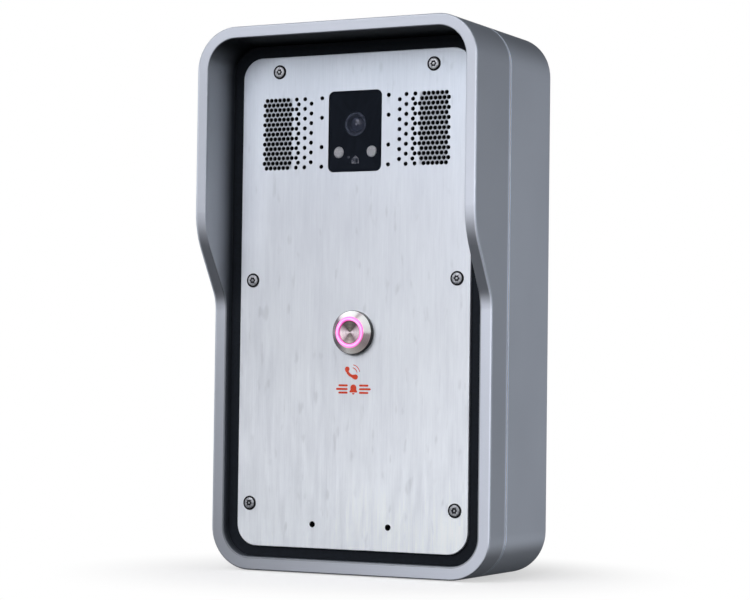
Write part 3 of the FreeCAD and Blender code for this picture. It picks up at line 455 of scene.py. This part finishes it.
def brushed_plate():
    """Stainless steel with faint vertical brushing and soft smudges.

    Painted shade darkens its tone towards the top, painted light makes it lighter to the right and the
    left edge lighter there, and painted shade darkens the dense grille blocks and the punched walls of
    the holes.
    """
    steel = Finish("brushed_plate", Metallic=0.55, Specular_IOR_Level=0.4)
    hair = steel.noise(2600.0, (1.0, 1.0, 0.02), detail=3.0, roughness=0.6)
    streak = steel.noise(420.0, (1.0, 1.0, 0.13), detail=4.0, roughness=0.65)
    cloud = steel.noise(38.0, (1.0, 1.0, 0.5), detail=3.0)
    both = steel.math("ADD", steel.math("MULTIPLY", hair, 0.3), steel.math("MULTIPLY", streak, 0.4))
    both = steel.math("ADD", both, steel.math("MULTIPLY", cloud, 0.3))
    base = steel.ramp(both, (0.38, tone(228, 231, 238)), (0.62, tone(242, 245, 250)))
    x, _, z = steel.axes()
    aside = steel.math("ABSOLUTE", x)

    # painted shade on the punched walls of the holes
    side_on = steel.span(steel.math("ABSOLUTE", steel.facing()[1]), 0.5, 0.3)
    within_x = steel.span(aside, PLATE_HIGH.x - HOLES_EDGE, PLATE_HIGH.x - HOLES_FROM)
    within_z = steel.math("ABSOLUTE", z)
    within_z = steel.span(within_z, PLATE_HIGH.z - HOLES_EDGE, PLATE_HIGH.z - HOLES_FROM)
    hole_shade = steel.math("MULTIPLY", side_on, steel.math("MULTIPLY", within_x, within_z))

    cloth_low, cloth_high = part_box("grille_cloth_right")
    grille_x = (cloth_low.x + cloth_high.x) / 2.0 + DENSE_OUTWARD
    grille_z = (cloth_low.z + cloth_high.z) / 2.0
    off_x = steel.math("ABSOLUTE", steel.math("SUBTRACT", aside, grille_x))
    off_z = steel.math("ABSOLUTE", steel.math("SUBTRACT", z, grille_z))
    dense_x = steel.span(off_x, *DENSE_HALF_X, smooth=True)
    dense_z = steel.span(off_z, *DENSE_HALF_Z, smooth=True)
    dense = steel.math("MULTIPLY", dense_x, dense_z)
    base = steel.darken(base, steel.span(dense, 0.0, 1.0, 1.0, DENSE_SHARE))

    # painted shade darker towards the top, then painted light lighter to the right and on the upper left
    # edge
    light = steel.ramp(
        steel.span(z, -PLATE_SHADE_REACH, PLATE_SHADE_REACH),
        (0.0, (0.90, 0.915, 0.92, 1.0)),
        (0.16, (0.825, 0.835, 0.845, 1.0)),
        (0.4, (0.66, 0.67, 0.68, 1.0)),
        (0.68, (0.52, 0.53, 0.55, 1.0)),
        (1.0, (0.43, 0.455, 0.49, 1.0)),
    )
    base = steel.node("ShaderNodeVectorMath", {0: base, 1: light}, operation="MULTIPLY")
    across = steel.span(x, PLATE_LOW.x, PLATE_HIGH.x, PLATE_LEFT_LIGHT_SHARE, PLATE_RIGHT_LIGHT_SHARE)
    base = steel.darken(base, across)
    edge = steel.span(x, PLATE_LOW.x + LEFT_EDGE_LIGHT_WIDTH, PLATE_LOW.x, smooth=True)
    edge = steel.math("MULTIPLY", edge, steel.span(z, 0.0, LEFT_EDGE_LIGHT_RISE, smooth=True))
    base = steel.darken(base, steel.span(edge, 0.0, 1.0, 1.0, LEFT_EDGE_LIGHT_SHARE))
    smudge = steel.noise(330.0, (1.0, 1.0, 0.3), detail=1.5)
    base = steel.darken(base, steel.span(smudge, 0.62, 0.78, 1.0, SMUDGE_SHARE, smooth=True))
    steel.colour(steel.mix(hole_shade, base, HOLE_SHADE_TONE))
    steel.roughness(steel.span(streak, 0.3, 0.7, 0.40, 0.50))
    steel.bump(hair, 0.12, 0.00002)
    return steel.material


# ---- finishes of the smaller parts ---------------------------------------------------------
def grained(name, low, high, roughness, grain=900.0, bump=0.1, **values):
    """Moulded or machined finish with a fine grain and a slight change of tone."""
    finish = Finish(name, **values)
    pattern = finish.noise(grain, detail=3.0)
    finish.colour(finish.ramp(pattern, (0.35, low), (0.65, high)))
    finish.roughness(finish.span(pattern, 0.3, 0.7, roughness * 0.9, min(1.0, roughness * 1.1)))
    finish.bump(pattern, bump, 0.00004)
    return finish.material


# depth over which painted shade turns a screw dark, about the plate's face
SCREW_SHADE = 0.15 * MM


def screw_steel():
    """Bright head; painted shade darkens its side faces, the pin recess and everything below the plate's
    face.
    """
    steel = Finish("screw_steel", Metallic=0.5)
    pattern = steel.noise(1500.0, detail=3.0)
    base = steel.ramp(pattern, (0.35, tone(128, 130, 137)), (0.65, tone(192, 194, 200)))
    # painted shade below the plate's face and on faces that look sideways
    deep_shade = steel.span(steel.axes()[1], PLATE_LOW.y - SCREW_SHADE, PLATE_LOW.y + SCREW_SHADE)
    walls = steel.span(steel.math("ABSOLUTE", steel.facing()[1]), 0.4, 0.2)
    dark = steel.math("MAXIMUM", deep_shade, walls)
    steel.colour(steel.mix(dark, base, tone(30, 30, 36)))
    steel.roughness(steel.span(pattern, 0.3, 0.7, 0.32, 0.44))
    return steel.material


TURNED_CIRCLES_PER_METRE = 8000.0
TURNED_WAVER = 0.35


def turned_steel(name, centre, painted_reflections):
    """Turned steel: fine circles about the button's axis, with painted reflections laid out by angle.

    Returns the finish, the distance from the axis and the colour. Angles of the painted reflections
    are in degrees, counted from the right of the button over its top.
    """
    steel = Finish(name, Metallic=0.4, Anisotropic=0.6, Specular_IOR_Level=0.5)
    out = steel.radius_from(centre)
    x, _, z = steel.axes()
    rise = steel.math("SUBTRACT", z, centre.z)
    run = steel.math("SUBTRACT", x, centre.x)
    turn = steel.math("ARCTAN2", rise, run)
    lines = steel.node(
        "ShaderNodeTexNoise",
        {"W": steel.math("MULTIPLY", out, TURNED_CIRCLES_PER_METRE), "Scale": 1.0},
        "Fac",
        noise_dimensions="1D",
    )
    spread = steel.math("MULTIPLY", steel.math("SUBTRACT", lines, 0.5), TURNED_WAVER)
    # painted reflections: the colour is laid out by angle about the axis
    share = steel.span(steel.math("ADD", turn, spread), -math.pi, math.pi)
    stops = [((degrees + 180.0) / 360.0, tone(*colour)) for degrees, colour in painted_reflections]
    steel.roughness(steel.span(lines, 0.3, 0.7, 0.24, 0.34))
    tangent = steel.nodes.new("ShaderNodeTangent")
    tangent.direction_type = "RADIAL"
    tangent.axis = "Y"
    steel.feed(steel.shader.inputs["Tangent"], tangent.outputs[0])
    return steel, out, steel.ramp(share, *stops)


# weak painted glow of the bezel, which is no lamp
BEZEL_PAINTED_GLOW = 0.3
# painted shade turns the bezel's side wall dark between these distances in from its outer edge
BEZEL_WALL_SHADE_FROM = 0.3 * MM
BEZEL_WALL_SHADE_TO = 0.1 * MM


def button_steel():
    """Bright polished cone with painted reflections by angle, painted shade on its side wall and a weak
    painted glow, though it is no lamp.
    """
    # painted reflections: tones by angle about the button's axis
    painted_reflections = (
        (-180.0, (140, 128, 134)),
        (-150.0, (78, 70, 75)),
        (-128.0, (120, 114, 116)),
        (-98.0, (214, 212, 210)),
        (-70.0, (196, 190, 186)),
        (-35.0, (160, 146, 148)),
        (-6.0, (176, 162, 166)),
        (2.0, (255, 255, 255)),
        (50.0, (255, 255, 255)),
        (64.0, (186, 172, 176)),
        (74.0, (255, 255, 255)),
        (112.0, (255, 255, 255)),
        (128.0, (216, 206, 212)),
        (142.0, (96, 84, 92)),
        (180.0, (140, 128, 134)),
    )
    steel, out, base = turned_steel("button_steel", BUTTON, painted_reflections)
    edge = BEZEL_HIGH.x - BUTTON.x
    wall = steel.span(out, edge - BEZEL_WALL_SHADE_FROM, edge - BEZEL_WALL_SHADE_TO)
    base = steel.mix(wall, base, tone(8, 8, 11))
    steel.colour(base)
    steel.feed(steel.shader.inputs["Emission Color"], base)
    steel.shader.inputs["Emission Strength"].default_value = BEZEL_PAINTED_GLOW
    return steel.material


def cap_steel():
    """Spun cap whose painted reflections open to the left and right."""
    # painted reflections: tones by angle about the cap's axis
    painted_reflections = (
        (-180.0, (240, 226, 232)),
        (-150.0, (210, 190, 198)),
        (-125.0, (112, 98, 100)),
        (-90.0, (150, 140, 136)),
        (-55.0, (104, 90, 92)),
        (-28.0, (196, 176, 184)),
        (0.0, (244, 232, 238)),
        (26.0, (226, 208, 216)),
        (48.0, (106, 98, 96)),
        (90.0, (146, 138, 132)),
        (132.0, (92, 84, 84)),
        (155.0, (190, 168, 178)),
        (180.0, (240, 226, 232)),
    )
    steel, _, base = turned_steel("cap_steel", (CAP_LOW + CAP_HIGH) / 2.0, painted_reflections)
    steel.colour(base)
    return steel.material


RING_OUTER = 6.45 * MM
RING_INNER = 4.85 * MM
RING_GLOW = 0.85


def ring_light():
    """Lit ring: a whitish pink crown between magenta edges, duller to the right."""
    ring = Finish("ring_light", Roughness=0.35)
    middle = (RING_LOW + RING_HIGH) / 2.0
    out = ring.radius_from(middle)
    across = ring.span(out, RING_INNER, RING_OUTER)
    patches = ring.noise(260.0, detail=2.0)
    waver = ring.math("MULTIPLY", ring.math("SUBTRACT", patches, 0.5), 0.7)
    across = ring.math("ADD", across, waver)
    glow = ring.ramp(
        across,
        (0.06, tone(176, 40, 120)),
        (0.30, tone(244, 84, 196)),
        (0.52, tone(255, 222, 246)),
        (0.72, tone(250, 100, 206)),
        (0.96, tone(196, 70, 138)),
    )
    ring.colour(ring.ramp(patches, (0.3, tone(240, 120, 200)), (0.7, tone(255, 160, 225))))
    glow = ring.darken(glow, ring.span(ring.axes()[0], RING_LOW.x, RING_HIGH.x, 1.1, 0.82))
    ring.feed(ring.shader.inputs["Emission Color"], glow)
    ring.shader.inputs["Emission Strength"].default_value = RING_GLOW
    return ring.material


# dim painted glow on the glass, which is no lamp
WINDOW_PAINTED_GLOW = tone(16, 19, 25)


def window_glass():
    """Lightly smoked flat glass with a faint haze of light, painted in as a dim glow."""
    glass = Finish("window_glass", Roughness=0.02, IOR=1.45, Transmission_Weight=1.0)
    glass.shader.inputs["Emission Color"].default_value = WINDOW_PAINTED_GLOW
    glass.shader.inputs["Emission Strength"].default_value = 1.0
    pattern = glass.noise(60.0, detail=2.0)
    glass.colour(glass.ramp(pattern, (0.3, (0.80, 0.80, 0.83, 1)), (0.7, (0.84, 0.84, 0.87, 1))))
    return glass.material


LENS_REACH = 3.3 * MM
# painted highlight on the barrel's outer ring
BARREL_HIGHLIGHT_FROM = 4.0 * MM
BARREL_HIGHLIGHT_FULL = 4.4 * MM


def lens_glass():
    """Coated front lens: painted reflections in dark rings about a small painted glint in the centre."""
    lens = Finish("lens_glass", Roughness=0.2, Specular_IOR_Level=0.25)
    middle = sum(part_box("lens_element"), Vector()) / 2.0
    out = lens.span(lens.radius_from(middle), 0.0, LENS_REACH)
    pattern = lens.noise(700.0, detail=2.0)
    waver = lens.math("MULTIPLY", lens.math("SUBTRACT", pattern, 0.5), 0.06)
    out = lens.math("ADD", out, waver)
    # painted reflections in rings and a painted glint at the centre
    lens.colour(lens.ramp(
        out,
        (0.0, tone(150, 152, 168)),
        (0.12, tone(96, 98, 112)),
        (0.22, tone(44, 45, 58)),
        (0.5, tone(52, 54, 68)),
        (0.8, tone(56, 59, 74)),
        (1.0, tone(40, 42, 52)),
    ))
    return lens.material


def lens_barrel():
    """Grey-blue face with a slightly lighter outer ring, which is a painted highlight."""
    barrel = Finish("barrel_black", Specular_IOR_Level=0.2, Roughness=0.6)
    middle = sum(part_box("lens_barrel"), Vector()) / 2.0
    out = barrel.radius_from(middle)
    pattern = barrel.noise(900.0, detail=2.0)
    face = barrel.ramp(pattern, (0.35, tone(46, 48, 60)), (0.65, tone(56, 59, 72)))
    edge = barrel.span(out, BARREL_HIGHLIGHT_FROM, BARREL_HIGHLIGHT_FULL)
    barrel.colour(barrel.mix(edge, face, tone(78, 82, 95)))
    return barrel.material


# material slot: darkest and lightest tone, roughness, and what else grained() is told
GRAINED = {
    "black_trim": ((19, 23, 29), (25, 29, 36), 0.75, {"Specular_IOR_Level": 0.1}),
    "black_rubber": ((20, 20, 23), (30, 30, 33), 0.8, {"Specular_IOR_Level": 0.2}),
    "foam": ((24, 24, 26), (38, 38, 40), 0.9, {"grain": 1600.0, "bump": 0.4, "Specular_IOR_Level": 0.1}),
    "zinc_steel": ((170, 172, 172), (200, 200, 198), 0.35, {"Metallic": 1.0}),
    "black_plastic": ((14, 16, 26), (19, 21, 32), 0.6, {"Specular_IOR_Level": 0.2}),
    "light_dome": ((206, 206, 204), (236, 236, 234), 0.5, {"grain": 2600.0}),
    "sensor_clear": ((62, 63, 72), (176, 176, 182), 0.25, {"grain": 700.0}),
    "circuit_board": ((12, 82, 44), (20, 104, 58), 0.35, {"grain": 400.0}),
    "chip_black": ((28, 28, 29), (42, 42, 43), 0.5, {}),
    "shield_tin": ((200, 200, 196), (222, 222, 218), 0.25, {"Metallic": 1.0}),
    "terminal_green": ((30, 120, 66), (42, 142, 80), 0.45, {}),
    "relay_blue": ((34, 74, 150), (44, 90, 172), 0.3, {}),
    "capacitor_sleeve": ((20, 24, 44), (34, 38, 60), 0.3, {}),
    "cloth": ((8, 8, 9), (16, 16, 18), 0.95, {"grain": 2400.0, "bump": 0.6, "Specular_IOR_Level": 0.05}),
    "speaker_steel": ((60, 60, 64), (80, 80, 84), 0.4, {"Metallic": 0.8}),
    "magnet": ((50, 50, 54), (72, 72, 76), 0.5, {"Metallic": 0.6}),
    "cone_paper": ((34, 34, 34), (52, 52, 50), 0.9, {"bump": 0.5}),
    "brass_tag": ((196, 164, 92), (220, 190, 120), 0.3, {"Metallic": 1.0}),
    "lead_sleeve": ((150, 30, 26), (176, 42, 36), 0.4, {}),
    "ribbon_film": ((176, 120, 40), (200, 146, 60), 0.3, {}),
    "spring_steel": ((160, 160, 162), (196, 196, 198), 0.3, {"Metallic": 1.0}),
}
FELT = ((6, 6, 8), (12, 12, 14), 0.95, {"grain": 1800.0, "bump": 0.5, "Specular_IOR_Level": 0.05})


def grained_from(name, dark, light, roughness, others):
    return grained(name, tone(*dark), tone(*light), roughness, **others)


def slot_finishes():
    """One finish for each material slot of the record."""
    finishes = {name: grained_from(name, *row) for name, row in GRAINED.items()}
    finishes.update({
        "case_paint": case_paint(),
        "brushed_plate": brushed_plate(),
        "screw_steel": screw_steel(),
        "window_glass": window_glass(),
        "lens_glass": lens_glass(),
        "barrel_black": lens_barrel(),
        "ring_light": ring_light(),
        "button_steel": button_steel(),
    })
    return finishes


def dress_nodes(finishes):
    """Gives each CAD node its own finish, or else the one of its material slot."""
    felt = grained_from("felt", *FELT)
    own = {
        "hood_frame": hood_paint(),
        "button_cap": cap_steel(),
        "microphone_left": felt,
        "microphone_right": felt,
    }
    slots = {part["node"]: part["material_slot"] for part in frame["record"]["subparts"]}
    for name, obj in NODES.items():
        obj.data.materials.clear()
        obj.data.materials.append(own.get(name, finishes[slots[name]]))


# ---- return springs ------------------------------------------------------------------------
SPRING_STEPS = 32
SPRING_SIDES = 10
FLAT_TURNS = 0.8
# node, joint, turns, wire radius, its held end (0 is the front, 1 the back), length kept when pressed
SPRINGS = (
    ("button_spring", "call_button_press", 5.5, 0.28 * MM, 1, 0.62),
    ("tamper_spring", "cover_switch_press", 6.5, 0.22 * MM, 0, 0.77),
)


def spring_mesh(name, low, high, turns, wire):
    """Wound wire between two depths, with most of its first and last turn lying flat."""
    bm = bmesh.new()
    centre = (low + high) / 2.0
    radius = (high.x - low.x) / 2.0 - wire
    count = int(turns * SPRING_STEPS)
    rings = []
    for index in range(count + 1):
        wound = index / SPRING_STEPS
        share = min(max((wound - FLAT_TURNS) / (turns - 2.0 * FLAT_TURNS), 0.0), 1.0)
        y = low.y + wire + share * (high.y - low.y - 2.0 * wire)
        around = 2.0 * math.pi * wound
        outward = Vector((math.cos(around), 0.0, math.sin(around)))
        spot = Vector((centre.x, y, centre.z)) + outward * radius
        ring = []
        for side in range(SPRING_SIDES):
            turn = 2.0 * math.pi * side / SPRING_SIDES
            along = Vector((0, wire * math.sin(turn), 0))
            ring.append(bm.verts.new(spot + outward * (wire * math.cos(turn)) + along))
        rings.append(ring)
    bm.faces.new(rings[0])
    bm.faces.new(rings[-1])
    for before, after in zip(rings, rings[1:]):
        for side in range(SPRING_SIDES):
            onward = (side + 1) % SPRING_SIDES
            bm.faces.new((before[side], before[onward], after[onward], after[side]))
    bmesh.ops.recalc_face_normals(bm, faces=bm.faces)
    for face in bm.faces:
        face.smooth = True
    mesh = bpy.data.meshes.new(name)
    bm.to_mesh(mesh)
    bm.free()
    return mesh


def make_springs(finish):
    """Wound springs in place of the CAD ones."""
    for node, joint, turns, wire, held, keep in SPRINGS:
        low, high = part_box(node)
        spring = link_object(node + "_wire", spring_mesh(node + "_wire", low, high, turns, wire))
        spring.data.materials.append(finish)
        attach(spring, "case")
        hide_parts(node)
        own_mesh(spring)


# ---- printed mark under the button ---------------------------------------------------------
INK_RAISE = 0.05 * MM
# the mark's own sizes are in millimetres about the button's axis
GRIP_STEPS = 22
GRIP_LEVEL = -18.5
GRIP_BOW = 0.64
GRIP_WIDTH = 1.15
PAD_WIDENS = 1.05
PAD_FROM = 0.55
WAVE_WIDTH = 0.32
BAR_WIDTH = 0.85
BAR_START = 3.1


def ink():
    finish = Finish("mark_ink", Roughness=0.5, Specular_IOR_Level=0.3)
    pattern = finish.noise(1400.0, detail=3.0)
    finish.colour(finish.ramp(pattern, (0.3, tone(196, 52, 24)), (0.7, tone(214, 72, 40))))
    return finish.material


def printed(name, outlines, finish):
    """Thin raised ink from closed outlines of (x, z) points in millimetres about the button's axis."""
    bm = bmesh.new()
    front = PLATE_LOW.y - INK_RAISE
    back = PLATE_LOW.y
    for points in outlines:
        rings = []
        for depth in (front, back):
            corners = [(BUTTON.x + x * MM, depth, BUTTON.z + z * MM) for x, z in points]
            rings.append([bm.verts.new(corner) for corner in corners])
        bm.faces.new(rings[0])
        for index in range(len(points)):
            after = (index + 1) % len(points)
            bm.faces.new((rings[0][index], rings[1][index], rings[1][after], rings[0][after]))
    bmesh.ops.recalc_face_normals(bm, faces=bm.faces)
    mesh = bpy.data.meshes.new(name)
    bm.to_mesh(mesh)
    bm.free()
    mesh.materials.append(finish)
    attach(link_object(name, mesh), "case")


def stroke(points, widths):
    """Outline of a line with its own width at each point and round ends."""
    left = []
    right = []
    vectors = [Vector(p) for p in points]
    for index, spot in enumerate(vectors):
        before = vectors[max(index - 1, 0)]
        after = vectors[min(index + 1, len(vectors) - 1)]
        along = (after - before).normalized()
        side = Vector((-along.y, along.x)) * (widths[index] / 2.0)
        left.append(spot + side)
        right.append(spot - side)
    head = round_end(vectors[-1], left[-1] - vectors[-1])
    tail = round_end(vectors[0], right[0] - vectors[0])
    return [tuple(p) for p in left + head + right[::-1] + tail]


def round_end(centre, start):
    """Points of a half turn, clockwise, without its two ends."""
    steps = 8
    turned = []
    for index in range(1, steps):
        turn = -math.pi * index / steps
        cos, sin = math.cos(turn), math.sin(turn)
        turned.append(centre + Vector((start.x * cos - start.y * sin, start.x * sin + start.y * cos)))
    return turned


def arc_points(cx, cz, radius, start, end, steps=14):
    """Points along an arc; angles in degrees."""
    turns = [math.radians(start + (end - start) * index / steps) for index in range(steps + 1)]
    return [(cx + radius * math.cos(t), cz + radius * math.sin(t)) for t in turns]


def make_mark():
    finish = ink()
    # handset: a bowed grip that swells into a pad at each end
    grip = arc_points(1.6, -13.9, 4.6, 174.0, 262.0, GRIP_STEPS)
    grip = [(x, GRIP_LEVEL + (z - GRIP_LEVEL) * GRIP_BOW) for x, z in grip]
    from_middle = [abs(2.0 * index / GRIP_STEPS - 1.0) for index in range(GRIP_STEPS + 1)]
    swell = [max(0.0, (away - PAD_FROM) / (1.0 - PAD_FROM)) ** 0.6 for away in from_middle]
    widths = [GRIP_WIDTH + PAD_WIDENS * value for value in swell]
    printed("mark_handset", [stroke(grip, widths)], finish)
    waves = [arc_points(-0.8, -17.1, radius, 14.0, 78.0) for radius in (2.5, 3.7)]
    printed("mark_waves", [stroke(wave, [WAVE_WIDTH] * len(wave)) for wave in waves], finish)
    # bell between short bars
    dome = [(-1.75, -24.9), (-1.75, -24.3), (-1.35, -23.9)] + arc_points(0.0, -22.9, 1.35, 180.0, 0.0)
    dome += [(1.35, -23.9), (1.75, -24.3), (1.75, -24.9)]
    clapper = arc_points(0.0, -25.15, 0.6, 180.0, 360.0)
    printed("mark_bell", [dome, clapper], finish)
    bars = []
    for side in (-1.0, 1.0):
        for z, reach in ((-22.0, 6.6), (-23.5, 7.7), (-25.0, 6.6)):
            ends = [(side * BAR_START, z), (side * reach, z)]
            bars.append(stroke(ends, [BAR_WIDTH, BAR_WIDTH]))
    printed("mark_bars", bars, finish)


# ---- scene ---------------------------------------------------------------------------------
make_camera()
make_studio()
slot_looks = slot_finishes()
dress_nodes(slot_looks)
make_springs(slot_looks["spring_steel"])
make_mark()
